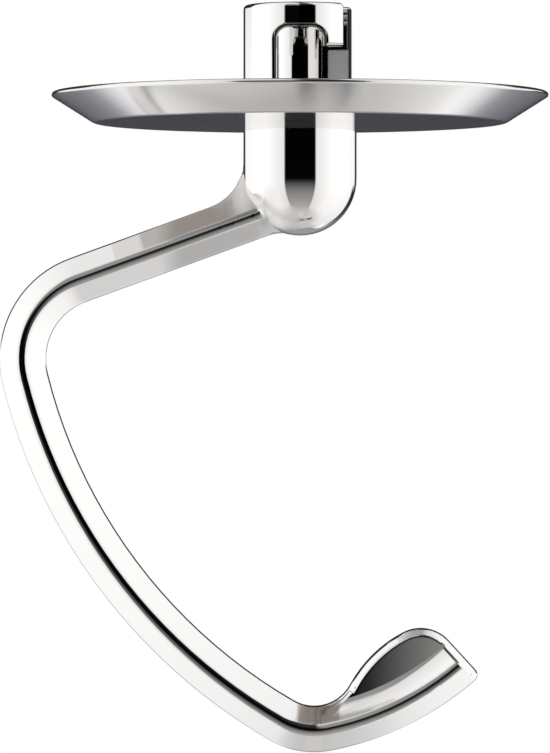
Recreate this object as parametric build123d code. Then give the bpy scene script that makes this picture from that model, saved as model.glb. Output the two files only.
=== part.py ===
from build123d import *
import os
from math import atan2, cos, degrees, hypot, pi, radians, sin, sqrt, tan

# Driving dimensions, in millimetres and degrees

# Hub and drive socket
hub_diameter = 24.0
hub_length = 48.8
hub_edge_radius = 0.9
bore_diameter = 13.0
bore_depth = 39.6

# Bayonet slot: a seat facing the front, an open entry notch beside it and a channel that joins them
seat_width = 9.6
seat_top_depth = 5.3
seat_corner_radius = 2.2
notch_width = 10.4
notch_direction = 80.7
tooth_depth = 9.2
slot_depth = 19.0
slot_edge_radius = 0.9

# Guard plate
plate_rim_diameter = 105.3
plate_flat_diameter = 87.5
plate_depth = 25.0
plate_flank_angle = 32.3
plate_thickness = 1.1
plate_bend_radius = 1.2
plate_fit_clearance = 0.05

# Arm section: two bevel facets a side, a rounded crest front and back, a narrow land on each edge
arm_width = 9.9
facet_angle = 50.0
edge_land = 1.4
edge_radius = 1.8
crest_width = 2.5
crest_radius = 2.3
crest_edge_radius = 0.5

# Arm path, in the upright plane through the hub's axis
hook_depth = 158.4
arm_root_depth = 41.1
arm_slope = 20.0
arm_reach = 58.8
bend_radius = 17.7
sweep_radius = 115.7
toe_offset = 3.0
toe_radius = 13.6
toe_rise = 11.0
tip_radius = 61.0

# Neck, where the arm flares into the hub
neck_top_radius = 11.0
neck_bottom_radius = 9.0
neck_front_radius = 1.6
neck_sink = 0.15

# Paddle at the tip
paddle_height = 26.4
paddle_reach = 25.6
paddle_top_radius = 8.0
paddle_flank_radius = 27.0
paddle_end_slope = 47.5
paddle_thickness = 4.4
scoop_radius = 8.0
scoop_crease_angle = 20.0
end_wall_angle = 86.0
tip_corner_radius = 1.7

# Values that follow from them

hub_radius = hub_diameter / 2
half_width = arm_width / 2
half_land = edge_land / 2
half_crest = crest_width / 2
half_paddle = paddle_thickness / 2
facet_rise = tan(radians(facet_angle))
crest_edge_height = half_land + (half_width - half_crest) * facet_rise
crest_height = crest_edge_height + crest_radius - sqrt(crest_radius**2 - half_crest**2)

# Spare length by which a cutting or trimming shape runs past what it works on, and less of it above the crests
margin = 5.0
block_spare = 0.5

# Spare turn of the tip's arc, which runs past the paddle's straight end before it is trimmed
tip_sweep = 60.0

# Share of the sheet's thickness that the rounding of each lip edge takes
lip_share = 0.45

# Share of the room for a rounding or a hollow that it takes at most
room_share = 0.95

# Sections that the neck is lofted through
neck_stations = 13


def polar(center, radius, angle):
    """Point of a circle in the hook's plane; the angle runs from +X towards +Z."""
    return (center[0] + radius * cos(radians(angle)), center[1] + radius * sin(radians(angle)))


def heading(start, end):
    """Angle, from +X towards +Z, of the way from one point to another."""
    return degrees(atan2(end[1] - start[1], end[0] - start[0])) % 360


def crossing(center_a, radius_a, center_b, radius_b, side):
    """Crossing of two circles, on the left (side 1) or right (side -1) of the way from a to b."""
    gap = hypot(center_b[0] - center_a[0], center_b[1] - center_a[1])
    along = (gap**2 + radius_a**2 - radius_b**2) / (2 * gap)
    across = side * sqrt(radius_a**2 - along**2)
    return polar(polar(center_a, along, heading(center_a, center_b)), across, heading(center_a, center_b) + 90)


# The arm's path: a straight run, then four arcs, each tangent to the next

arm_root = (0.0, -arm_root_depth)
bend_x = bend_radius - arm_reach
bend_center = (
    bend_x,
    -arm_root_depth + (bend_x * sin(radians(arm_slope)) - bend_radius) / cos(radians(arm_slope)),
)
toe_center = (toe_offset, half_width + toe_radius - hook_depth)
sweep_center = crossing(bend_center, sweep_radius - bend_radius, toe_center, sweep_radius - toe_radius, 1)
toe_end = 270 + toe_rise
tip_center = polar(toe_center, tip_radius - toe_radius, toe_end - 180)

bend_start = 90 + arm_slope
bend_end = heading(sweep_center, bend_center)
sweep_end = heading(sweep_center, toe_center)
bend_begin = polar(bend_center, bend_radius, bend_start)
straight_end = hypot(bend_begin[0] - arm_root[0], bend_begin[1] - arm_root[1])

# The paddle's outline: the toe's inner arc, a flank, a top and a straight end, each tangent to the next

toe_inner_radius = toe_radius - half_width
paddle_top_center = (paddle_reach, paddle_height - hook_depth - paddle_top_radius)
flank_center = crossing(
    toe_center, toe_inner_radius + paddle_flank_radius,
    paddle_top_center, paddle_flank_radius - paddle_top_radius, -1,
)
end_normal = 90 - paddle_end_slope
end_start = polar(paddle_top_center, paddle_top_radius, end_normal)
tip_outer_radius = tip_radius + half_width
end_length = 2 * (paddle_height + margin)
block_half = crest_height + block_spare

# The neck's flares, in distances along the arm from the hub's axis: where each starts and how far it turns

slope_sin = sin(radians(arm_slope))
slope_cos = cos(radians(arm_slope))
end_ball_rise = arm_root_depth - hub_length + hub_radius
sunk_radius = hub_radius - neck_sink
top_start = (sunk_radius + neck_top_radius - (half_width + neck_top_radius) * slope_sin) / slope_cos
top_run = neck_top_radius * slope_cos
ball_distance = -end_ball_rise * slope_sin
bottom_drop = end_ball_rise * slope_cos + half_width + neck_bottom_radius
bottom_reach = sqrt((sunk_radius + neck_bottom_radius) ** 2 - bottom_drop**2)
bottom_run = bottom_reach * neck_bottom_radius / (sunk_radius + neck_bottom_radius)
bottom_start = ball_distance + bottom_reach
front_ball = sqrt(sunk_radius**2 - (end_ball_rise * slope_cos) ** 2)
front_reach = sqrt((front_ball + neck_front_radius) ** 2 - (crest_height + neck_front_radius) ** 2)
front_run = front_reach * neck_front_radius / (front_ball + neck_front_radius)
front_start = ball_distance + front_reach
neck_end = bottom_start - bottom_run


def arc_between(center, radius, start, end):
    """Arc in the hook's plane from one angle to another."""
    return ThreePointArc(
        polar(center, radius, start), polar(center, radius, (start + end) / 2), polar(center, radius, end)
    )


def land_rounding(width, height):
    """Radius of a land's edge below a facet of a width and height, kept small enough for the land's two edges."""
    turn = pi / 2 - atan2(height, width)
    return min(edge_radius, room_share * half_land / tan(turn / 2))


def arm_section(top, bottom, lift=0.0):
    """Section of the arm; top and bottom are its half widths beside the crest, which lift raises."""
    edge_height = crest_edge_height + lift
    peak = crest_height + lift

    def half(width):
        return [(half_crest, edge_height), (width, half_land), (width, -half_land), (half_crest, -edge_height)]

    upper = half(top)
    lower = [(-x, y) for x, y in half(bottom)]
    outline = Polyline(*upper)
    outline += ThreePointArc(upper[-1], (0, -peak), lower[-1])
    outline += Polyline(*lower[::-1])
    outline += ThreePointArc(lower[0], (0, peak), upper[0])
    section = make_face(outline)
    for side, width in ((1, top), (-1, bottom)):
        edges = section.vertices().filter_by(lambda v: abs(v.X - side * width) < 1e-4)
        section = fillet(edges, land_rounding(width - half_crest, edge_height - half_land))
    return fillet(section.vertices().filter_by(lambda v: abs(abs(v.X) - half_crest) < 1e-4), crest_edge_radius)


def radial_plane(center, radius, angle):
    """Plane across an arc of the path; its X points away from the arc's centre, its Y along -Y or +Y."""
    x, z = polar(center, radius, angle)
    outward = Vector(cos(radians(angle)), 0, sin(radians(angle)))
    return Plane(origin=(x, 0, z), x_dir=outward, z_dir=outward.cross(Vector(0, 1, 0)))


def turned(section, center, radius, start, end):
    """A section carried round an arc of the path."""
    face = radial_plane(center, radius, start) * section
    return revolve(face, Axis((center[0], 0, center[1]), (0, -1, 0)), end - start)


def neck_plane(distance):
    """Plane across the arm's straight run, at a distance from the hub's axis; its X points up."""
    tilt = radians(arm_slope)
    up = Vector(-sin(tilt), 0, cos(tilt))
    return Plane(
        origin=(-distance * cos(tilt), 0, -arm_root_depth - distance * sin(tilt)),
        x_dir=up, z_dir=up.cross(Vector(0, 1, 0)),
    )


def make_arm():
    """The arm from the neck to the toe: the straight run and three arcs."""
    section = arm_section(half_width, half_width)
    inward = neck_plane(0).origin - neck_plane(1).origin
    arm = extrude(neck_plane(straight_end) * section, straight_end - top_start, dir=inward)
    arm += turned(section, bend_center, bend_radius, bend_start, bend_end)
    arm += turned(section, sweep_center, sweep_radius, bend_end, sweep_end)
    arm += turned(section, toe_center, toe_radius, sweep_end, toe_end)
    return arm


def scoop_section():
    """Section through the paddle: the arm's outer side and crest, then a scoop down to a level floor."""
    turn = cos(radians(scoop_crease_angle)) - cos(radians(facet_angle))
    radius = min(scoop_radius, room_share * (crest_edge_height - half_paddle) / turn)
    wall_height = half_paddle + radius * turn
    wall_start = (-half_crest - (crest_edge_height - wall_height) / facet_rise, wall_height)
    wall_center = polar(wall_start, radius, 90 + facet_angle)
    wall_middle = polar(wall_center, radius, 270 + (facet_angle + scoop_crease_angle) / 2)
    wall_end = polar(wall_center, radius, 270 + scoop_crease_angle)
    outline = Line((half_width, half_land), (half_crest, crest_edge_height))
    outline += ThreePointArc(
        (half_crest, crest_edge_height), (0, crest_height), (-half_crest, crest_edge_height)
    )
    outline += Line((-half_crest, crest_edge_height), wall_start)
    outline += ThreePointArc(wall_start, wall_middle, wall_end)
    outline += Polyline(wall_end, (-paddle_height, half_paddle), (-paddle_height, 0))
    outline += mirror(outline, Plane.XZ)
    outline += Line((half_width, -half_land), (half_width, half_land))
    section = make_face(outline)
    section = fillet(
        section.vertices().filter_by(lambda v: abs(v.X - half_width) < 1e-4),
        land_rounding(half_width - half_crest, crest_edge_height - half_land),
    )
    return fillet(section.vertices().filter_by(lambda v: abs(abs(v.X) - half_crest) < 1e-4), crest_edge_radius)


def bevelled_blank():
    """Block with the paddle's inner outline and straight end, bevelled and rounded along them like the arm."""
    end_stop = polar(end_start, end_length, -paddle_end_slope)
    bottom = -hook_depth - end_length
    left = polar(toe_center, toe_radius + half_width + margin, sweep_end)
    flank_start = heading(flank_center, toe_center)
    flank_end = heading(flank_center, paddle_top_center)
    outline = arc_between(toe_center, toe_inner_radius, sweep_end, heading(toe_center, flank_center))
    outline += arc_between(flank_center, paddle_flank_radius, flank_start, flank_end)
    outline += arc_between(paddle_top_center, paddle_top_radius, flank_end, end_normal)
    outline += Polyline(
        end_start, end_stop, (end_stop[0], bottom), (left[0], bottom), left,
        polar(toe_center, toe_inner_radius, sweep_end),
    )
    blank = extrude(make_face(Plane.XZ * outline), block_half, both=True)

    def along_outline(edge):
        middle = edge.position_at(0.5)
        on_end = abs(heading(end_start, (middle.X, middle.Z)) - (360 - paddle_end_slope)) < 1e-3
        return edge.geom_type == GeomType.CIRCLE or on_end

    bevel_height = block_half - half_land
    for side in (0, -1):
        face = blank.faces().sort_by(Axis.Y)[side]
        rim = face.edges().filter_by(along_outline)
        blank = chamfer(rim, bevel_height / facet_rise, bevel_height, reference=face)
    lands = blank.edges().filter_by(
        lambda e: abs(abs(e.position_at(0.5).Y) - half_land) < 1e-4 and along_outline(e)
    )
    return fillet(lands, land_rounding(bevel_height / facet_rise, bevel_height))


def end_wall():
    """Fills the straight end's bevel from the height of the tip's rounded corner up, which leaves a steep wall."""
    foot = (tip_corner_radius, half_land + tip_corner_radius * facet_rise)
    top = (foot[0] + (block_half - foot[1]) / tan(radians(end_wall_angle)), block_half)
    face = make_face(Polyline(foot, top, ((block_half - half_land) / facet_rise, block_half), foot))
    inward = polar((0, 0), 1, end_normal + 180)
    along = polar((0, 0), 1, -paddle_end_slope)
    placed = Plane(
        origin=(end_start[0], 0, end_start[1]), x_dir=(inward[0], 0, inward[1]), z_dir=(along[0], 0, along[1])
    )
    wall = extrude(placed * face, end_length)
    return wall + mirror(wall, Plane.XZ)


def round_tip_corner(paddle):
    """Rounds the corner between the paddle's straight end and the arm's outer edge."""
    inset = tip_corner_radius
    to_line = (tip_center[0] - end_start[0]) * cos(radians(end_normal))
    to_line += (tip_center[1] - end_start[1]) * sin(radians(end_normal))
    on_line = polar(tip_center, -inset - to_line, end_normal)
    run = sqrt((tip_outer_radius - inset) ** 2 - (inset + to_line) ** 2)
    center = polar(on_line, run, -paddle_end_slope)
    outer_normal = heading(tip_center, center)
    side = polar(center, margin, end_normal)
    below = polar(center, margin, outer_normal)
    far = polar(side, margin, outer_normal)
    corner_face = make_face(Plane.XZ * Polyline(center, side, far, below, center))
    corner = extrude(corner_face, crest_height + margin, both=True)
    peak = half_land + inset * facet_rise
    profile = make_face(Polyline((0, -peak), (inset, -half_land), (inset, half_land), (0, peak), (0, -peak)))
    tips = profile.vertices().filter_by(lambda v: v.X > inset / 2)
    profile = fillet(tips, land_rounding(inset, peak - half_land))
    placed = Plane(origin=(center[0], 0, center[1]), x_dir=(1, 0, 0), z_dir=(0, 0, 1)) * profile
    nose = revolve(placed, Axis((center[0], 0, center[1]), (0, 1, 0)))
    return (paddle - corner) + (paddle & corner & nose)


def make_paddle():
    """The paddle: the scooped section carried round the tip's arc, trimmed by the bevelled blank."""
    swept = turned(scoop_section(), tip_center, tip_radius, toe_end, toe_end + tip_sweep)
    return round_tip_corner(swept & (bevelled_blank() + end_wall()))


def flare(distance, start, run, radius):
    """Rise of a concave arc that leaves the arm at a start distance and ends after a run."""
    return radius - sqrt(radius**2 - min(max(start - distance, 0), run) ** 2)


def make_neck():
    """The root of the arm, flaring into the hub at the top, the bottom and both crests."""
    sections = []
    for step in range(neck_stations):
        distance = top_start + (neck_end - top_start) * step / (neck_stations - 1)
        top = half_width + flare(distance, top_start, top_run, neck_top_radius)
        bottom = half_width + flare(distance, bottom_start, bottom_run, neck_bottom_radius)
        lift = flare(distance, front_start, front_run, neck_front_radius)
        sections.append(neck_plane(distance) * arm_section(top, bottom, lift))
    return loft(sections)


def make_hub():
    """The hub: a round bar with a rounded top edge and a ball end."""
    ball = hub_radius - hub_length
    outline = Polyline((0, -hub_length), (0, 0), (hub_radius, 0), (hub_radius, ball))
    outline += RadiusArc((hub_radius, ball), (0, -hub_length), hub_radius)
    profile = make_face(Plane.XZ * outline)
    return revolve(profile, Axis.Z)


def slot_cutter():
    """The bayonet slot: seat, entry notch and the channel that joins them under the tooth."""
    reach = hub_radius + margin
    seat_height = slot_depth - seat_top_depth
    seat_face = Pos(0, -slot_depth + seat_height / 2) * Rectangle(seat_width, seat_height)
    seat_face = fillet(seat_face.vertices().group_by(Axis.Y)[-1], seat_corner_radius)
    seat = extrude(Plane.XZ * seat_face, reach)
    notch_face = Pos(0, -slot_depth + (slot_depth + margin) / 2) * Rectangle(notch_width, slot_depth + margin)
    notch = Rot(0, 0, notch_direction) * extrude(Plane.XZ * notch_face, reach)
    channel_height = slot_depth - tooth_depth
    channel_face = Pos(reach / 2, -slot_depth + channel_height / 2) * Rectangle(reach, channel_height)
    channel = Rot(0, 0, -90) * revolve(Plane.XZ * channel_face, Axis.Z, notch_direction)
    return seat + notch + channel


def make_socket(hub):
    """Cuts the bore and the bayonet slot, and rounds the edges they leave on the hub's outer wall."""
    bored = hub - Pos(0, 0, -bore_depth / 2) * Cylinder(bore_diameter / 2, bore_depth)
    cutter = slot_cutter()
    slotted = bored - cutter

    def on_outer_wall(edge):
        spots = [edge.position_at(share) for share in (0.1, 0.5, 0.9)]
        return all(abs(hypot(spot.X, spot.Y) - hub_radius) < 1e-3 for spot in spots)

    slotted = fillet(new_edges(bored, cutter, combined=slotted).filter_by(on_outer_wall), slot_edge_radius)
    return fillet(slotted.edges().group_by(Axis.Z)[-1].filter_by(on_outer_wall), hub_edge_radius)


def make_plate():
    """The guard plate: a pressed dish with a flat floor, a sloping flank and a rounded lip."""
    hole = hub_radius + plate_fit_clearance
    flat = plate_flat_diameter / 2
    tilt = radians(plate_flank_angle)
    lip_radius = lip_share * plate_thickness
    rim = plate_rim_diameter / 2 + lip_radius * (sin(tilt) + cos(tilt) - 1)
    rise = (rim - flat) * tan(tilt)
    lip = (rim - plate_thickness * sin(tilt), rise - plate_depth + plate_thickness * cos(tilt))
    inner_flat = flat - plate_thickness * tan(tilt / 2)
    floor = plate_thickness - plate_depth
    outline = Polyline(
        (hole, -plate_depth), (flat, -plate_depth), (rim, rise - plate_depth), lip, (inner_flat, floor),
        (hole, floor), (hole, -plate_depth),
    )
    profile = make_face(outline)

    def at(point):
        return profile.vertices().sort_by_distance((point[0], point[1], 0))[0]

    profile = fillet(at((flat, -plate_depth)), plate_bend_radius + plate_thickness)
    profile = fillet(at((inner_flat, floor)), plate_bend_radius)
    profile = fillet([at((rim, rise - plate_depth)), at(lip)], lip_radius)
    return revolve(Plane.XZ * profile, Axis.Z)


def make_hook():
    """The whole casting: hub, neck, arm and paddle in one."""
    return make_socket(make_hub() + make_neck()) + make_arm() + make_paddle()


os.makedirs("parts", exist_ok=True)
export_step(make_hook(), "parts/hook.step")
export_step(make_plate(), "parts/guard_plate.step")
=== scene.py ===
"""A polished dough hook in a white studio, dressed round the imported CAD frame."""

import math

import bmesh
import bpy
import numpy as np
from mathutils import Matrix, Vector
from mathutils.bvhtree import BVHTree
from mathutils.interpolate import poly_3d_calc


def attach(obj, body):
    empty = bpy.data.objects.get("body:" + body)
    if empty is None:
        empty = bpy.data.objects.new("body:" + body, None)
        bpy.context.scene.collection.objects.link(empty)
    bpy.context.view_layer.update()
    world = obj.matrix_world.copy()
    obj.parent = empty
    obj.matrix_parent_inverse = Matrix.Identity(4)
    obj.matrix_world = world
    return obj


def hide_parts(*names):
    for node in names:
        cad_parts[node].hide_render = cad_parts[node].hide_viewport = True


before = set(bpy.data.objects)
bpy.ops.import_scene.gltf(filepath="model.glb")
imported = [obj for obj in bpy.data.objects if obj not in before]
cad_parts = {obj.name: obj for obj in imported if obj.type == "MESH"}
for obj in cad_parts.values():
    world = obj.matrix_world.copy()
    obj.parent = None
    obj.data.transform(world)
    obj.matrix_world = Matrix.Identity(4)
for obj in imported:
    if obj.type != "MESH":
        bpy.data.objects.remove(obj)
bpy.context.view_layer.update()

# The photograph's height in pixels, what each shows at the hook's own plane in metres, and the camera
PHOTO_HEIGHT = 753
METRES_PER_PIXEL = 0.0002121
CAMERA_PLACE = (-0.0053, -1.065, -0.0787)
SENSOR_HEIGHT = 36.0

# The studio's floor in metres, its colour, which takes the shadow, and the glow that adds to its white
FLOOR_LEVEL = -0.24
FLOOR_HALF = 8.0
FLOOR_COLOR = (0.8, 0.8, 0.8, 1.0)
FLOOR_GLOW = 0.2

# The studio that the steel mirrors, as (direction in degrees, brightness) where 1 is white.
# The white tent round the horizon, from the camera's side (0) to the middle of the far side (180)
FAR_MIDDLE = 180.0
AROUND = [(36, 1.15), (50, 1.27), (72, 1.45), (108, 1.45), (134, 1.32), (155, 1.25), (180, 1.2)]
# The share of that brightness from straight below (-90) to straight above (90)
RISE = [
    (-90, 0.6), (-80, 0.59), (-75, 0.59), (-68, 0.64), (-61, 0.8), (-54, 0.87), (-42, 0.91), (-30, 0.94),
    (-10, 0.99), (10, 1.0), (25, 0.97), (43, 0.92), (54, 0.88), (63, 0.83), (69, 0.79), (90, 0.72),
]
# The gap in the tent that the camera looks through, from below to above, how far it goes to each side,
# and how it differs left of the camera
GAP_BELOW = [
    (-90, 0.95), (-76, 0.83), (-68, 0.68), (-61, 0.57), (-54, 0.5), (-47, 0.44), (-40, 0.39), (-35, 0.362),
    (-25, 0.27), (-14, 0.138), (-6, 0.035), (-4, 0.02), (-2, 0.004), (2, 0.002), (3.5, 0.0),
]
GAP = GAP_BELOW + [
    (12, 0.004), (23, 0.016), (33, 0.03), (44, 0.05), (60, 0.06), (75, 0.08), (82, 0.3), (90, 0.5),
]
GAP_LEFT = GAP_BELOW + [(8, 0.02), (13, 0.2), (18, 0.36), (44, 0.4), (50, 0.85), (60, 1.1), (90, 0.8)]
GAP_HALF = 32.0
GAP_EDGE = 2.0
GAP_LEFT_START = -0.03
GAP_LEFT_EDGE = 0.03
# The dim ground and wall behind the hook, from below to above, and how far it spreads to each side
FAR = [
    (-90, 0.8), (-75, 0.8), (-68, 0.72), (-62, 0.76), (-56, 0.8), (-51, 0.92), (-47, 1.14), (-43, 1.5),
    (-40, 1.3), (-35, 0.84), (-31, 0.46), (-28, 0.35), (-23, 0.27), (-14, 0.19), (-8, 0.115), (-3, 0.045),
    (1, 0.03), (90, 0.02),
]
FAR_HALF = [(-90, 23.5), (-75, 23.5), (-66, 30.0), (90, 30.0)]
FAR_EDGE = 5.0
# Dark patches on the far side: the least way ahead, across and up, where -2 is no limit, and the brightness
LOFT = (0.45, -2.0, 0.1)
LOFT_LEVEL = 0.03
CORNER = (0.76, 0.38, -2.0)
CORNER_TOP = -0.06
CORNER_LEVEL = 0.02
PATCH_EDGE = 0.05
# A dim spot in the middle of the far ground: least turn, ends of its rise, its edge and brightness
SPOT_TURN = 161.0
SPOT_RISE = (-57.0, -27.0)
SPOT_EDGE = 4.0
SPOT_LEVEL = 0.42
# The studio's tint: white, and on the far side warm near the ground and cool higher up
WHITE = (1.0, 1.0, 1.0, 1.0)
WARM = (1.01, 1.0, 0.985, 1.0)
COOL = (0.94, 0.94, 1.07, 1.0)
TINT_RISE = -35.0
TINT_EDGE = 12.0

# The steel of each piece: its colour, and the least and the greatest roughness of its cloudy gloss
HOOK_STEEL = ((0.72, 0.708, 0.695, 1.0), 0.02, 0.045)
PLATE_STEEL = ((0.66, 0.65, 0.64, 1.0), 0.12, 0.15)
# Those clouds and the waviness that the wheel leaves, as scale and detail, and the waves' depth in metres
CLOUDS = (60.0, 4.0)
WAVES = (90.0, 1.0)
WAVE_DEPTH = 0.0002
WAVE_STRENGTH = 0.02

# The part's own sizes, in millimetres and degrees, from which its true surfaces follow
MM_PER_METRE = 1000
HUB_RADIUS = 12.0
HUB_LENGTH = 48.8
BORE_RADIUS = 6.5
SEAT_HALF = 4.8
SEAT_TOP = -5.3
SEAT_CORNER = 2.2
TOOTH_BOTTOM = -9.2
NOTCH_HALF = 5.2
NOTCH_TURN = 80.7
# The arm's section
HALF_WIDTH = 4.95
HALF_LAND = 0.7
HALF_CREST = 1.25
CREST_RADIUS = 2.3
FACET_TILT = 50.0
# The arm's path: a straight run, whose range counts from the hub's axis, and four arcs
HOOK_DEPTH = 158.4
ARM_ROOT = -41.1
ARM_SLOPE = 20.0
ARM_REACH = 58.8
STRAIGHT_RANGE = (18.0, 50.4)
BEND_RADIUS = 17.7
SWEEP_RADIUS = 115.7
TOE_OFFSET = 3.0
TOE_RADIUS = 13.6
TOE_RISE = 11.0
TIP_RADIUS = 61.0
TIP_SWEEP = 60.0
# The paddle: its outline, its floor and the scoop's round wall
PADDLE_HEIGHT = 26.4
PADDLE_REACH = 25.6
PADDLE_TOP_RADIUS = 8.0
PADDLE_FLANK_RADIUS = 27.0
PADDLE_END_SLOPE = 47.5
PADDLE_FLOOR = 2.2
SCOOP_RADIUS = 8.0
SCOOP_CREASE = 20.0
# The guard plate's profile
PLATE_CLEARANCE = 0.05
PLATE_FLAT = 43.75
PLATE_BOTTOM = -25.0
PLATE_BEND = 1.2
PLATE_SHEET = 1.1
PLATE_TILT = 32.3
PLATE_RADIUS = 52.65
LIP_RADIUS = 0.495
# Spots on each rounded corner of that profile, and on each ring round its axis
CORNER_SPOTS = 11
RING_SPOTS = 256

# Zones of the hook in metres, as ranges across, away from its plane to both sides, and up.
# The milled wall of the entry notch
NOTCH = ((0.0060, 0.0108), (0.002, 0.005), (-0.0242, -0.0092))
NOTCH_EDGE = 0.0003
MILLED_COLOR = (0.85, 0.83, 0.82, 1.0)
MILLED_ROUGHNESS = 0.45
# Places that a polishing wheel hardly reaches, with the edge and the roughness of each: the top of the
# paddle's rim, and the hub's end beside the arm in two zones
SATIN = [
    ((0.0235, 0.0290), (0.0000, 0.0030), (-0.1350, -0.1310), 0.0010, 0.17),
    ((-0.0078, -0.0048), (0.0030, 0.0130), (-0.0480, -0.0385), 0.0010, 0.35),
    ((-0.0078, 0.0000), (0.0030, 0.0130), (-0.0480, -0.0430), 0.0010, 0.35),
]
# The toe's tight inside, which is satin too, and darker: the darker brownish colour is painted shade in that
# tight hollow
TOE_INSIDE = ((-0.0005, 0.0083), (0.0000, 0.0049), (-0.1535, -0.1470))
TOE_EDGE = 0.0004
TOE_ROUGHNESS = 0.17
TOE_PAINTED_SHADE = (0.42, 0.375, 0.35, 1.0)
# The arm's upper and lower facet beside the neck, with a darker colour that is painted shade standing in
# for darker reflections: the range across, the range along a heading square to the arm's run, and
# the colour of each
NECK_PAINTED_SHADE = [
    ((-0.0285, -0.0145), (-0.0373, -0.0320), (0.47, 0.425, 0.395, 1.0)),
    ((-0.0275, -0.0070), (-0.0445, -0.0400), (0.47, 0.462, 0.455, 1.0)),
]
NECK_HEADING = 90 + ARM_SLOPE
NECK_EDGE = 0.0030
# Painted shade on edges, black in place of dark reflections and shadow lines: its colour and its soft edge
PAINTED_SHADE_COLOR = (0.02, 0.02, 0.02, 1.0)
PAINTED_SHADE_EDGE = 0.00015
# The slot's range up, and the outer edge of its entry notch, where a painted shadow line runs
SLOT_RANGE = (-0.0245, -0.0004)
NOTCH_RIM_SHADE = ((0.0103, 0.0125), (0.002, 0.006), SLOT_RANGE)
# The outer part of the bayonet seat's edge, painted black as a dark outline in place of its reflection:
# its ends outwards from the seat, and where it begins in front
SEAT_SHADE_BAND = (0.00022, 0.0007)
SEAT_FRONT = -0.0085
# The step at the straight end of the scoop, where black is painted as a shadow line: its zone, its heading
# in the hook's plane from +X towards +Z, and its ends that way
STEP = ((0.0290, 0.0336), (0.0023, 0.0054), (-0.1425, -0.134))
STEP_HEADING = 90 - PADDLE_END_SLOPE
STEP_ENDS = (-0.06975, -0.06922)
# Where a soft fillet blends the scoop into the paddle's rim, and its reach
LEAF = ((0.01, 0.0365), (0.0008, 0.006), (-0.152, -0.13))
LEAF_BLEND = 0.0008
# The longest edge left in that zone, and the most rounds of cutting edges in two
FINE_EDGE = 0.0004
FINE_ROUNDS = 5

# Shading that leaves the true surfaces, in millimetres and degrees. The rim's bevel leans out a little
# further than the arm's facets, so that it does not catch the hub's end
RIM_LEAN = 3.0
# The faint twist of the paddle's floor: where it is level, and its lean for each millimetre across, with
# what each millimetre more adds to that
TWIST_LEVEL_AT = 12.2
TWIST = -0.0075
TWIST_GROWTH = -0.00029
# The paddle's wall leans less than its steepest: from this lean on, only a share of the rest counts
WALL_LEAN = 34.0
WALL_SHARE = 0.5
WALL_RANGE = (-6.0, -1.2)

# How near a vertex lies to its true surface, and how far its packed normal may be off beside edges
SNAP_DISTANCE = 0.004
SNAP_TURN = 13.0
# Spare turn past the ends of an arc, and the least distance to divide by
ARC_SPARE = 0.2
LEAST_REACH = 1e-9
# Least cosine between normals that count as the same
SAME_WAY = 0.95
# Most of a normal that points to the front on the paddle's rim, and the least that points up
RIM_FRONT = 0.7
RIM_UP = 0.3


def polar(center, radius, heading):
    """Point of a circle in the hook's plane; the heading runs from +X towards +Z."""
    turn = math.radians(heading)
    return center[0] + radius * math.cos(turn), center[1] + radius * math.sin(turn)


def heading_to(start, end):
    """Heading from one point of the hook's plane to another."""
    return math.degrees(math.atan2(end[1] - start[1], end[0] - start[0])) % 360


def crossing(first, first_radius, second, second_radius, side):
    """Crossing of two circles, on the left (side 1) or right (side -1) of the way from the first centre."""
    gap = math.dist(first, second)
    along = (gap**2 + first_radius**2 - second_radius**2) / (2 * gap)
    across = side * math.sqrt(first_radius**2 - along**2)
    way = heading_to(first, second)
    return polar(polar(first, along, way), across, way + 90)


# Centres of the arcs of the arm's path and the paddle's rim, each tangent to the next
slope = math.radians(ARM_SLOPE)
bend_x = BEND_RADIUS - ARM_REACH
bend_center = (bend_x, ARM_ROOT + (bend_x * math.sin(slope) - BEND_RADIUS) / math.cos(slope))
toe_center = (TOE_OFFSET, HALF_WIDTH + TOE_RADIUS - HOOK_DEPTH)
sweep_center = crossing(bend_center, SWEEP_RADIUS - BEND_RADIUS, toe_center, SWEEP_RADIUS - TOE_RADIUS, 1)
toe_end = 270 + TOE_RISE
tip_center = polar(toe_center, TIP_RADIUS - TOE_RADIUS, toe_end - 180)
top_center = (PADDLE_REACH, PADDLE_HEIGHT - HOOK_DEPTH - PADDLE_TOP_RADIUS)
flank_center = crossing(
    toe_center, TOE_RADIUS - HALF_WIDTH + PADDLE_FLANK_RADIUS,
    top_center, PADDLE_FLANK_RADIUS - PADDLE_TOP_RADIUS, -1,
)

# Those arcs as (centre x, centre z, radius, first and last heading); the toe's goes on up its inner edge
bend_end = heading_to(sweep_center, bend_center)
sweep_end = heading_to(sweep_center, toe_center)
flank_end = heading_to(flank_center, top_center)
BEND = (*bend_center, BEND_RADIUS, 90 + ARM_SLOPE, bend_end)
SWEEP = (*sweep_center, SWEEP_RADIUS, bend_end, sweep_end)
TOE = (*toe_center, TOE_RADIUS, sweep_end, heading_to(toe_center, flank_center))
TIP = (*tip_center, TIP_RADIUS, toe_end, toe_end + TIP_SWEEP)
RIM_TOP = (*top_center, PADDLE_TOP_RADIUS, 90 - PADDLE_END_SLOPE, flank_end)
RIM_FLANK = (*flank_center, PADDLE_FLANK_RADIUS, flank_end, heading_to(flank_center, toe_center))

# Centres of the crest's and the scoop's rounding in the section, as (beside the path, height)
facet_turn = math.radians(FACET_TILT)
crest_edge = HALF_LAND + (HALF_WIDTH - HALF_CREST) * math.tan(facet_turn)
CREST = (0.0, crest_edge - math.sqrt(CREST_RADIUS**2 - HALF_CREST**2))
scoop_height = PADDLE_FLOOR + SCOOP_RADIUS * math.cos(math.radians(SCOOP_CREASE))
wall_drop = crest_edge - scoop_height + SCOOP_RADIUS * math.cos(facet_turn)
wall_start = -HALF_CREST - wall_drop / math.tan(facet_turn)
SCOOP = (wall_start - SCOOP_RADIUS * math.sin(facet_turn), scoop_height)


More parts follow.
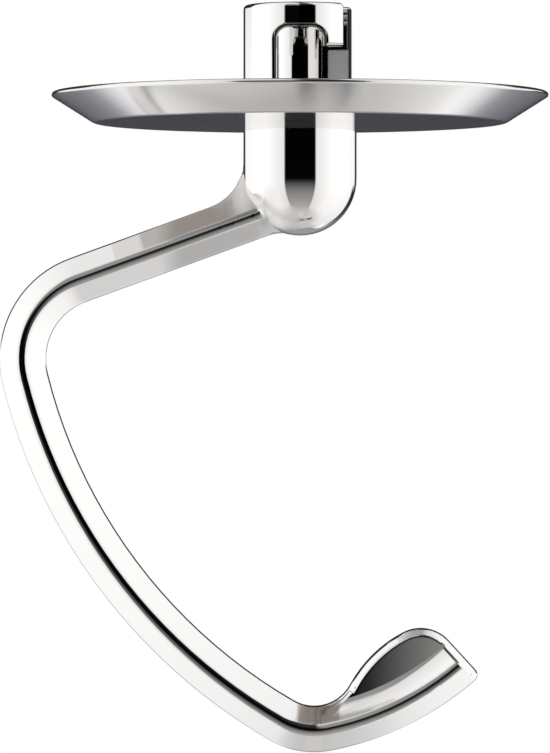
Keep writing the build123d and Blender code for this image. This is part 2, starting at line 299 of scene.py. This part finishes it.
def new_material(name):
    """An empty node material and its node tree."""
    material = bpy.data.materials.new(name)
    material.use_nodes = True
    material.node_tree.nodes.clear()
    return material, material.node_tree


def link(tree, source, target):
    """Joins an output socket to an input socket."""
    tree.links.new(source, target)


def feed(tree, value, target):
    """Joins a value to an input socket if it is an output socket, and sets it there if not."""
    if isinstance(value, bpy.types.NodeSocket):
        link(tree, value, target)
    else:
        target.default_value = value


def make_floor():
    """A pale floor that is white to the camera apart from the shadow on it."""
    sides = ((-1, -1), (1, -1), (1, 1), (-1, 1))
    mesh = bpy.data.meshes.new("floor")
    mesh.from_pydata([(x * FLOOR_HALF, y * FLOOR_HALF, FLOOR_LEVEL) for x, y in sides], [], [(0, 1, 2, 3)])
    floor = bpy.data.objects.new("floor", mesh)
    bpy.context.scene.collection.objects.link(floor)
    material, tree = new_material("floor")
    diffuse = tree.nodes.new("ShaderNodeBsdfDiffuse")
    diffuse.inputs["Color"].default_value = FLOOR_COLOR
    glow = tree.nodes.new("ShaderNodeEmission")
    glow.inputs["Strength"].default_value = FLOOR_GLOW
    pale = tree.nodes.new("ShaderNodeAddShader")
    link(tree, diffuse.outputs["BSDF"], pale.inputs[0])
    link(tree, glow.outputs["Emission"], pale.inputs[1])
    output = tree.nodes.new("ShaderNodeOutputMaterial")
    link(tree, pale.outputs["Shader"], output.inputs["Surface"])
    mesh.materials.append(material)
    floor.visible_glossy = False


def coordinates(tree, kind):
    """Outputs X, Y and Z of a kind of texture coordinates."""
    place = tree.nodes.new("ShaderNodeTexCoord")
    split = tree.nodes.new("ShaderNodeSeparateXYZ")
    link(tree, place.outputs[kind], split.inputs["Vector"])
    return {axis: split.outputs[axis] for axis in "XYZ"}


def calculate(tree, operation, *values):
    """Result of a math node; its inputs are sockets or numbers."""
    node = tree.nodes.new("ShaderNodeMath")
    node.operation = operation
    for target, value in zip(node.inputs, values):
        feed(tree, value, target)
    return node.outputs["Value"]


def graph(tree, value, points):
    """A curve through points, read at a value in degrees."""
    low, high = points[0][0], points[-1][0]
    top = max(level for _, level in points)
    node = tree.nodes.new("ShaderNodeFloatCurve")
    curve = node.mapping.curves[0]
    for spot, (angle, level) in enumerate(points):
        place = ((angle - low) / (high - low), level / top)
        if spot in (0, len(points) - 1):
            curve.points[-1 if spot else 0].location = place
        else:
            curve.points.new(*place)
    for point in curve.points:
        point.handle_type = "VECTOR"
    node.mapping.update()
    share = calculate(tree, "DIVIDE", calculate(tree, "SUBTRACT", value, low), high - low)
    link(tree, share, node.inputs["Value"])
    return calculate(tree, "MULTIPLY", node.outputs["Value"], top)


def fade(tree, value, middle, edge):
    """1 below a middle value, 0 above it, with a soft edge."""
    node = tree.nodes.new("ShaderNodeMapRange")
    node.interpolation_type = "SMOOTHSTEP"
    node.inputs["From Min"].default_value = middle - edge
    node.inputs["From Max"].default_value = middle + edge
    node.inputs["To Min"].default_value = 1.0
    node.inputs["To Max"].default_value = 0.0
    link(tree, value, node.inputs["Value"])
    return node.outputs["Result"]


def within(tree, value, ends, edge):
    """1 between two ends of a range, 0 outside, with soft edges."""
    return calculate(tree, "SUBTRACT", fade(tree, value, ends[1], edge), fade(tree, value, ends[0], edge))


def mix(tree, share, first, second):
    """First value where the share is 0, second where it is 1."""
    node = tree.nodes.new("ShaderNodeMix")
    node.data_type = "FLOAT"
    for name, value in (("Factor", share), ("A", first), ("B", second)):
        feed(tree, value, node.inputs[name])
    return node.outputs["Result"]


def mix_colors(tree, share, first, second):
    """First colour where the share is 0, second where it is 1."""
    node = tree.nodes.new("ShaderNodeMix")
    node.data_type = "RGBA"
    link(tree, share, node.inputs["Factor"])
    targets = [socket for socket in node.inputs if socket.type == "RGBA"]
    for target, color in zip(targets, (first, second)):
        feed(tree, color, target)
    return next(socket for socket in node.outputs if socket.type == "RGBA")


def beyond(tree, way, patch):
    """1 in a patch of the far side that begins at a least way ahead, across and up, with a soft edge."""
    share = 1.0
    for axis, least in zip("YXZ", patch):
        outside = fade(tree, way[axis], least, PATCH_EDGE)
        share = calculate(tree, "MULTIPLY", calculate(tree, "SUBTRACT", 1.0, outside), share)
    return share


def make_studio(tree):
    """Brightness and tint of the studio each way: a white tent, a gap at the camera, a dim far side."""
    way = coordinates(tree, "Generated")
    sideways = calculate(tree, "ABSOLUTE", way["X"])
    nearward = calculate(tree, "MULTIPLY", way["Y"], -1.0)
    turn = calculate(tree, "DEGREES", calculate(tree, "ARCTAN2", sideways, nearward))
    rise = calculate(tree, "DEGREES", calculate(tree, "ARCSINE", way["Z"]))
    tent = calculate(tree, "MULTIPLY", graph(tree, turn, AROUND), graph(tree, rise, RISE))
    left = fade(tree, way["X"], GAP_LEFT_START, GAP_LEFT_EDGE)
    gap = mix(tree, left, graph(tree, rise, GAP), graph(tree, rise, GAP_LEFT))
    level = mix(tree, fade(tree, turn, GAP_HALF, GAP_EDGE), tent, gap)
    spread = calculate(tree, "ADD", turn, graph(tree, rise, FAR_HALF))
    near_side = fade(tree, spread, FAR_MIDDLE, FAR_EDGE)
    level = mix(tree, near_side, graph(tree, rise, FAR), level)
    middle = calculate(tree, "SUBTRACT", 1.0, fade(tree, turn, SPOT_TURN, SPOT_EDGE))
    spot = calculate(tree, "MULTIPLY", middle, within(tree, rise, SPOT_RISE, SPOT_EDGE))
    level = mix(tree, spot, level, SPOT_LEVEL)
    below = fade(tree, way["Z"], CORNER_TOP, PATCH_EDGE)
    corner = calculate(tree, "MULTIPLY", beyond(tree, way, CORNER), below)
    level = mix(tree, corner, level, CORNER_LEVEL)
    level = mix(tree, beyond(tree, way, LOFT), level, LOFT_LEVEL)
    tint = mix_colors(tree, fade(tree, rise, TINT_RISE, TINT_EDGE), COOL, WARM)
    return level, mix_colors(tree, near_side, tint, WHITE)


def make_world():
    """White at strength 1 all round, and to the steel a studio."""
    world = bpy.data.worlds.new("studio")
    bpy.context.scene.world = world
    world.use_nodes = True
    # Reflected rays find the studio by themselves, and sampling it as a lamp leaves dots in dark reflections
    world.cycles.sampling_method = "NONE"
    tree = world.node_tree
    tree.nodes.clear()
    white = tree.nodes.new("ShaderNodeBackground")
    white.inputs["Color"].default_value = WHITE
    studio = tree.nodes.new("ShaderNodeBackground")
    level, tint = make_studio(tree)
    link(tree, tint, studio.inputs["Color"])
    link(tree, level, studio.inputs["Strength"])
    path = tree.nodes.new("ShaderNodeLightPath")
    choice = tree.nodes.new("ShaderNodeMixShader")
    link(tree, path.outputs["Is Glossy Ray"], choice.inputs["Fac"])
    link(tree, white.outputs["Background"], choice.inputs[1])
    link(tree, studio.outputs["Background"], choice.inputs[2])
    output = tree.nodes.new("ShaderNodeOutputWorld")
    link(tree, choice.outputs["Shader"], output.inputs["Surface"])


def noise(tree, scale, detail):
    """A noise all through a piece."""
    place = tree.nodes.new("ShaderNodeTexCoord")
    node = tree.nodes.new("ShaderNodeTexNoise")
    node.inputs["Scale"].default_value = scale
    node.inputs["Detail"].default_value = detail
    link(tree, place.outputs["Object"], node.inputs["Vector"])
    return node.outputs["Fac"]


def polished_steel(name, color, finest, coarsest):
    """Polished steel: a cloudy gloss between two roughnesses, and a fine waviness left by the wheel."""
    material, tree = new_material(name)
    gloss = tree.nodes.new("ShaderNodeMapRange")
    gloss.inputs["To Min"].default_value = finest
    gloss.inputs["To Max"].default_value = coarsest
    link(tree, noise(tree, *CLOUDS), gloss.inputs["Value"])
    bump = tree.nodes.new("ShaderNodeBump")
    bump.inputs["Strength"].default_value = WAVE_STRENGTH
    bump.inputs["Distance"].default_value = WAVE_DEPTH
    link(tree, noise(tree, *WAVES), bump.inputs["Height"])
    shader = tree.nodes.new("ShaderNodeBsdfPrincipled")
    shader.inputs["Base Color"].default_value = color
    shader.inputs["Metallic"].default_value = 1.0
    link(tree, gloss.outputs["Result"], shader.inputs["Roughness"])
    link(tree, bump.outputs["Normal"], shader.inputs["Normal"])
    output = tree.nodes.new("ShaderNodeOutputMaterial")
    link(tree, shader.outputs["BSDF"], output.inputs["Surface"])
    return material


def zone(tree, place, ranges, edge):
    """1 in a zone of the hook that has the same ranges on both sides of its plane, with a soft edge."""
    across, away, up = ranges
    share = within(tree, place["X"], across, edge)
    share = calculate(tree, "MULTIPLY", share, within(tree, place["Z"], up, edge))
    aside = calculate(tree, "ABSOLUTE", place["Y"])
    return calculate(tree, "MULTIPLY", share, within(tree, aside, away, edge))


def toward(tree, place, heading):
    """Distance along a heading in the hook's plane."""
    turn = math.radians(heading)
    across = calculate(tree, "MULTIPLY", place["X"], math.cos(turn))
    return calculate(tree, "ADD", across, calculate(tree, "MULTIPLY", place["Z"], math.sin(turn)))


def outside_seat(tree, place):
    """Distance outwards from the bayonet seat's outline."""
    aside = calculate(tree, "ABSOLUTE", place["X"])
    aside = calculate(tree, "SUBTRACT", aside, (SEAT_HALF - SEAT_CORNER) / MM_PER_METRE)
    above = calculate(tree, "SUBTRACT", place["Z"], (SEAT_TOP - SEAT_CORNER) / MM_PER_METRE)
    ways = [calculate(tree, "MAXIMUM", way, 0.0) for way in (aside, above)]
    squares = [calculate(tree, "POWER", way, 2.0) for way in ways]
    reach = calculate(tree, "SQRT", calculate(tree, "ADD", *squares))
    return calculate(tree, "SUBTRACT", reach, SEAT_CORNER / MM_PER_METRE)


def painted_shade_edges(tree, place):
    """1 where black is painted as shade: on the step at the scoop's end, the entry notch's outer edge and
    the bayonet seat's edge.
    """
    step = within(tree, toward(tree, place, STEP_HEADING), STEP_ENDS, PAINTED_SHADE_EDGE)
    step = calculate(tree, "MULTIPLY", step, zone(tree, place, STEP, PAINTED_SHADE_EDGE))
    seat = within(tree, outside_seat(tree, place), SEAT_SHADE_BAND, PAINTED_SHADE_EDGE)
    seat = calculate(tree, "MULTIPLY", seat, fade(tree, place["Y"], SEAT_FRONT, PAINTED_SHADE_EDGE))
    seat = calculate(tree, "MULTIPLY", seat, within(tree, place["Z"], SLOT_RANGE, PAINTED_SHADE_EDGE))
    edges = calculate(tree, "MAXIMUM", step, zone(tree, place, NOTCH_RIM_SHADE, PAINTED_SHADE_EDGE))
    return calculate(tree, "MAXIMUM", edges, seat)


def add_satin_and_painted_shade(material):
    """Gives the hook's steel its satin places and milled notch, and painted shade: darker places and black
    edges.
    """
    tree = material.node_tree
    place = coordinates(tree, "Object")
    shader = next(node for node in tree.nodes if node.type == "BSDF_PRINCIPLED")
    gloss = shader.inputs["Roughness"].links[0].from_socket
    for *ranges, edge, roughness in SATIN:
        gloss = mix(tree, zone(tree, place, ranges, edge), gloss, roughness)
    # The toe's inside: satin roughness, and a darker colour that is painted shade
    toe = zone(tree, place, TOE_INSIDE, TOE_EDGE)
    gloss = mix(tree, toe, gloss, TOE_ROUGHNESS)
    color = mix_colors(tree, toe, tuple(shader.inputs["Base Color"].default_value), TOE_PAINTED_SHADE)
    # Painted shade: a darker colour on the facets beside the neck
    for across, ends, tint in NECK_PAINTED_SHADE:
        neck = within(tree, place["X"], across, NECK_EDGE)
        side = within(tree, toward(tree, place, NECK_HEADING), ends, PAINTED_SHADE_EDGE)
        color = mix_colors(tree, calculate(tree, "MULTIPLY", neck, side), color, tint)
    milled = zone(tree, place, NOTCH, NOTCH_EDGE)
    color = mix_colors(tree, milled, color, MILLED_COLOR)
    # Painted shade: black on those edges in place of dark reflections and shadow lines
    color = mix_colors(tree, painted_shade_edges(tree, place), color, PAINTED_SHADE_COLOR)
    link(tree, color, shader.inputs["Base Color"])
    link(tree, mix(tree, milled, gloss, MILLED_ROUGHNESS), shader.inputs["Roughness"])


def off_arc(points, arc):
    """Distances of points outwards from an arc, the way out there, and whether they lie beside the arc."""
    x, z, radius, first, last = arc
    away = (points - (x, 0, z)) * (1, 0, 1)
    reach = np.linalg.norm(away, axis=1)
    heading = np.degrees(np.arctan2(away[:, 2], away[:, 0])) % 360
    inside = (heading > first - ARC_SPARE) & (heading < last + ARC_SPARE)
    return reach - radius, away / reach[:, None], inside


def off_straight(points):
    """The same for the arm's straight run."""
    up = np.array((-math.sin(slope), 0, math.cos(slope)))
    away = points - (0, 0, ARM_ROOT)
    run = away @ (-math.cos(slope), 0, -math.sin(slope))
    inside = (run > STRAIGHT_RANGE[0]) & (run < STRAIGHT_RANGE[1])
    return away @ up, np.broadcast_to(up, points.shape), inside


def to_front(values):
    """Directions to the front, or to the back behind the hook's plane, by the sign of some values."""
    return np.sign(values)[:, None] * (0, 1, 0)


def facet(points, gap, side, out, lean=0.0):
    """A bevel facet that rises from an edge, which lies a gap outwards: distances from it, its normals."""
    distance = gap * math.sin(facet_turn) - (np.abs(points[:, 1]) - HALF_LAND) * math.cos(facet_turn)
    turn = facet_turn + math.radians(lean)
    return np.abs(distance), math.sin(turn) * side[:, None] * out + math.cos(turn) * to_front(points[:, 1])


def rounding(points, offset, out, center, radius, side):
    """A rounding of the section that is carried along the path: distances from it, and its normals."""
    away = np.stack((offset - center[0], np.abs(points[:, 1]) - center[1]), axis=1)
    reach = np.linalg.norm(away, axis=1)
    way = side * away / reach[:, None]
    return np.abs(reach - radius), way[:, :1] * out + way[:, 1:] * to_front(points[:, 1])


def barrel(points, center, radius, side, span):
    """A round wall or a ball, by the axes that it goes round in: distances from it, and its normals."""
    away = (points - center) * span
    reach = np.maximum(np.linalg.norm(away, axis=1), LEAST_REACH)
    return np.abs(reach - radius), side * away / reach[:, None]


def flat(points, normal, offset):
    """A plane: distances from it, and its normal."""
    normal = np.array(normal, float)
    return np.abs(points @ normal - offset), np.broadcast_to(normal, points.shape)


def only_where(inside, surface):
    """A surface that only counts for some points."""
    distance, normal = surface
    return np.where(inside, distance, np.inf), normal


def hub_surfaces(points):
    """The hub's true surfaces, each as distances of the points from it and its normals there."""
    upright, crossways, all_round = (1, 1, 0), (1, 0, 1), (1, 1, 1)
    yield barrel(points, (0, 0, 0), HUB_RADIUS, 1, upright)
    yield barrel(points, (0, 0, HUB_RADIUS - HUB_LENGTH), HUB_RADIUS, 1, all_round)
    yield barrel(points, (0, 0, 0), BORE_RADIUS, -1, upright)
    yield flat(points, (0, 0, 1), 0)
    yield flat(points, (0, 0, -1), -SEAT_TOP)
    yield flat(points, (0, 0, -1), -TOOTH_BOTTOM)
    turn = math.radians(NOTCH_TURN)
    for side in (-1, 1):
        yield flat(points, (-side, 0, 0), -SEAT_HALF)
        yield flat(points, (-side * math.cos(turn), -side * math.sin(turn), 0), -NOTCH_HALF)
        corner = (side * (SEAT_HALF - SEAT_CORNER), 0, SEAT_TOP - SEAT_CORNER)
        yield barrel(points, corner, SEAT_CORNER, -1, crossways)


def arm_surfaces(points):
    """The same for the arm: facets, edge lands and crests along its whole path."""
    arcs = [off_arc(points, arc) for arc in (BEND, SWEEP, TOE, TIP)]
    for offset, out, inside in [off_straight(points)] + arcs:
        side = np.sign(offset)
        yield only_where(inside, facet(points, HALF_WIDTH - np.abs(offset), side, out))
        yield only_where(inside, (np.abs(np.abs(offset) - HALF_WIDTH), side[:, None] * out))
        middle = inside & (np.abs(offset) < HALF_WIDTH / 2)
        yield only_where(middle, rounding(points, offset, out, CREST, CREST_RADIUS, 1))


def paddle_surfaces(points):
    """The same for the paddle: the scoop's wall, and the rim's facets and edge lands."""
    offset, out, inside = off_arc(points, TIP)
    yield only_where(inside & (offset < 0), rounding(points, offset, out, SCOOP, SCOOP_RADIUS, -1))
    for arc, sign in ((RIM_TOP, 1.0), (RIM_FLANK, -1.0)):
        offset, out, inside = off_arc(points, arc)
        side = np.full(len(points), sign)
        yield only_where(inside, facet(points, -side * offset, side, out, RIM_LEAN))
        yield only_where(inside, (np.abs(offset), side[:, None] * out))


def true_normals(points, normals):
    """Normals turned to those of the surfaces that the points lie on, where they are close already."""
    best = np.full(len(points), math.cos(math.radians(SNAP_TURN)))
    result = normals.copy()
    for surfaces in (hub_surfaces, arm_surfaces, paddle_surfaces):
        for distance, normal in surfaces(points):
            match = np.sum(normals * normal, axis=1)
            better = (distance < SNAP_DISTANCE) & (match > best)
            best[better] = match[better]
            result[better] = normal[better]
    return result


def on_floor(points, normals):
    """Which vertices belong to the paddle's floor, in front or behind."""
    level = np.abs(np.abs(points[:, 1]) - PADDLE_FLOOR) < SNAP_DISTANCE
    return level & (np.abs(normals[:, 1]) > SAME_WAY)


def on_wall(points, normals):
    """Which vertices belong to the scoop's wall, how far each leans in from the front, and the way out."""
    offset, out, inside = off_arc(points, TIP)
    lean = np.degrees(np.arctan2(-np.sum(normals * out, axis=1), np.abs(normals[:, 1])))
    wall = inside & (offset > WALL_RANGE[0]) & (offset < WALL_RANGE[1]) & (lean > 0)
    return wall & (np.abs(points[:, 1]) > PADDLE_FLOOR - SNAP_DISTANCE), lean, out


def on_rim(normals):
    """Which vertices belong to a bevel or an end wall that faces up, as the paddle's rim does."""
    return (np.abs(normals[:, 1]) < RIM_FRONT) & (normals[:, 2] > RIM_UP)


def ease_wall(points, normals):
    """Eases the steepest part of the paddle's wall, to keep it clear of the guard plate's reflection."""
    wall, lean, out = on_wall(points, normals)
    steep = wall & (lean > WALL_LEAN)
    eased = np.radians(WALL_LEAN + WALL_SHARE * (lean - WALL_LEAN))
    normal = np.cos(eased)[:, None] * to_front(normals[:, 1]) - np.sin(eased)[:, None] * out
    normals[steep] = normal[steep]
    return normals


def twist_floor(points, normals):
    """Leans the normals of the paddle's floor up at its inner end and down at its outer end."""
    floor = on_floor(points, normals)
    run = points[:, 0] - TWIST_LEVEL_AT
    lean = (TWIST + TWIST_GROWTH * run) * run
    lean *= -np.sign(normals[:, 1])
    normals[floor, 2] = lean[floor]
    return normals / np.linalg.norm(normals, axis=1, keepdims=True)


def meets(corners, ranges):
    """Whether the box round some corners reaches into a zone."""
    spots = [(corner.x, abs(corner.y), corner.z) for corner in corners]
    return all(
        max(values) > low and min(values) < high for values, (low, high) in zip(zip(*spots), ranges)
    )


def cut_finer(tools, ranges):
    """Cuts the faces of a zone into small triangles."""
    for _ in range(FINE_ROUNDS):
        edges = [edge for edge in tools.edges if edge.calc_length() > FINE_EDGE]
        edges = [edge for edge in edges if meets([vertex.co for vertex in edge.verts], ranges)]
        bmesh.ops.subdivide_edges(tools, edges=edges, cuts=1)
        bmesh.ops.triangulate(tools, faces=[face for face in tools.faces if len(face.verts) > 3])


def soften(mesh, normals, turned, still, ranges, reach):
    """Turns the shading of some faces of a zone towards that of others that stay, near their seam."""
    tools = bmesh.new()
    tools.from_mesh(mesh)
    way = tools.verts.layers.float_vector.new("way")
    role = tools.faces.layers.int.new("role")
    for vertex, normal in zip(tools.verts, normals):
        vertex[way] = normal
    for face in tools.faces:
        spots = [vertex.index for vertex in face.verts]
        face[role] = all(turned[spots]) - all(still[spots])
    cut_finer(tools, ranges)
    tools.verts.index_update()
    faces = [face for face in tools.faces if meets([vertex.co for vertex in face.verts], ranges)]
    staying = [face for face in faces if face[role] < 0]
    polygons = [[vertex.index for vertex in face.verts] for face in staying]
    tree = BVHTree.FromPolygons([vertex.co for vertex in tools.verts], polygons)
    result = np.array([vertex[way] for vertex in tools.verts])
    for vertex in {vertex for face in faces if face[role] > 0 for vertex in face.verts}:
        spot, _, index, distance = tree.find_nearest(vertex.co, reach)
        if spot is not None:
            corners = staying[index].verts
            shares = poly_3d_calc([corner.co for corner in corners], spot)
            across = sum((share * corner[way] for share, corner in zip(shares, corners)), Vector())
            result[vertex.index] = vertex[way].lerp(across, (1 - distance / reach) ** 2)
    tools.verts.layers.float_vector.remove(way)
    tools.faces.layers.int.remove(role)
    tools.to_mesh(mesh)
    tools.free()
    return result / np.linalg.norm(result, axis=1, keepdims=True)


def polish_hook():
    """A copy of the hook's mesh, and normals that shade it as its true surfaces and soft fillets."""
    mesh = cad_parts["hook"].data.copy()
    points = np.array([vertex.co for vertex in mesh.vertices]) * MM_PER_METRE
    normals = np.zeros_like(points)
    for corner, normal in zip(mesh.loops, mesh.corner_normals):
        normals[corner.vertex_index] = normal.vector
    normals = true_normals(points, normals)
    normals = twist_floor(points, ease_wall(points, normals))
    scoop = on_floor(points, normals) | on_wall(points, normals)[0]
    return mesh, soften(mesh, normals, scoop, ~scoop & on_rim(normals), LEAF, LEAF_BLEND)


def round_corner(before, corner, after, radius):
    """A corner of a profile as spots and normals: rounded, or sharp with a normal for each side."""
    sides = ((before, corner), (corner, after))
    ways = [(end - start) / np.linalg.norm(end - start) for start, end in sides]
    normals = [np.array((way[1], -way[0])) for way in ways]
    if not radius:
        return [(corner, normal) for normal in normals]
    turn = math.atan2(ways[1] @ -normals[0], ways[1] @ ways[0])
    side = math.copysign(radius, turn)
    center = corner - ways[0] * radius * math.tan(abs(turn) / 2) - side * normals[0]
    headings = np.linspace(0, turn, CORNER_SPOTS)
    around = [normals[0] * math.cos(heading) + ways[0] * math.sin(heading) for heading in headings]
    return [(center + side * normal, normal) for normal in around]


def plate_profile():
    """The guard plate's profile as spots and normals, each as (out, up), once round its sheet."""
    tilt = math.radians(PLATE_TILT)
    hole = HUB_RADIUS + PLATE_CLEARANCE
    floor = PLATE_BOTTOM + PLATE_SHEET
    edge = PLATE_RADIUS + LIP_RADIUS * (math.sin(tilt) + math.cos(tilt) - 1)
    rim = np.array((edge, PLATE_BOTTOM + (edge - PLATE_FLAT) * math.tan(tilt)))
    corners = [
        ((hole, PLATE_BOTTOM), 0),
        ((PLATE_FLAT, PLATE_BOTTOM), PLATE_BEND + PLATE_SHEET),
        (rim, LIP_RADIUS),
        (rim + PLATE_SHEET * np.array((-math.sin(tilt), math.cos(tilt))), LIP_RADIUS),
        ((PLATE_FLAT - PLATE_SHEET * math.tan(tilt / 2), floor), PLATE_BEND),
        ((hole, floor), 0),
    ]
    places = [np.array(place) for place, _ in corners]
    profile = []
    for spot, (_, radius) in enumerate(corners):
        profile += round_corner(places[spot - 1], places[spot], places[(spot + 1) % len(places)], radius)
    return profile


def turn_plate():
    """The guard plate turned from its profile, with a lip that is smooth all round, and its normals."""
    profile = plate_profile()
    turns = np.linspace(0, 2 * math.pi, RING_SPOTS, endpoint=False)
    around = np.stack((np.cos(turns), np.sin(turns), np.zeros_like(turns)), axis=1)
    upward = np.array((0, 0, 1))
    points, normals = (
        np.concatenate([out * around + up * upward for out, up in pairs]) for pairs in zip(*profile)
    )
    faces = []
    for ring, (spot, _) in enumerate(profile):
        next_ring = (ring + 1) % len(profile)
        if np.allclose(spot, profile[next_ring][0]):
            continue
        for step in range(RING_SPOTS):
            next_step = (step + 1) % RING_SPOTS
            corners = ((ring, step), (ring, next_step), (next_ring, next_step), (next_ring, step))
            faces.append([row * RING_SPOTS + column for row, column in corners])
    mesh = bpy.data.meshes.new("guard_plate")
    mesh.from_pydata((points / MM_PER_METRE).tolist(), [], faces)
    return mesh, normals


def dress(node, mesh, normals, material, slot):
    """Puts a polished mesh in a CAD node's place."""
    mesh.polygons.foreach_set("use_smooth", [True] * len(mesh.polygons))
    mesh.normals_split_custom_set_from_vertices(normals.tolist())
    mesh.materials.clear()
    mesh.materials.append(material)
    piece = bpy.data.objects.new("polished_" + node, mesh)
    bpy.context.scene.collection.objects.link(piece)
    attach(piece, "root")
    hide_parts(node)


def make_camera():
    """A level camera at the photograph's viewpoint."""
    data = bpy.data.cameras.new("camera")
    data.sensor_fit = "VERTICAL"
    data.sensor_height = SENSOR_HEIGHT
    data.lens = SENSOR_HEIGHT * -CAMERA_PLACE[1] / (PHOTO_HEIGHT * METRES_PER_PIXEL)
    camera = bpy.data.objects.new("camera", data)
    camera.location = CAMERA_PLACE
    camera.rotation_euler = (math.radians(90), 0, 0)
    bpy.context.scene.collection.objects.link(camera)
    bpy.context.scene.camera = camera


bpy.context.scene.view_settings.view_transform = "Standard"
make_world()
make_floor()
make_camera()
hook_steel = polished_steel("hook_steel", *HOOK_STEEL)
add_satin_and_painted_shade(hook_steel)
plate_steel = polished_steel("plate_steel", *PLATE_STEEL)
dress("hook", *polish_hook(), hook_steel, "polished_steel")
dress("guard_plate", *turn_plate(), plate_steel, "polished_sheet")
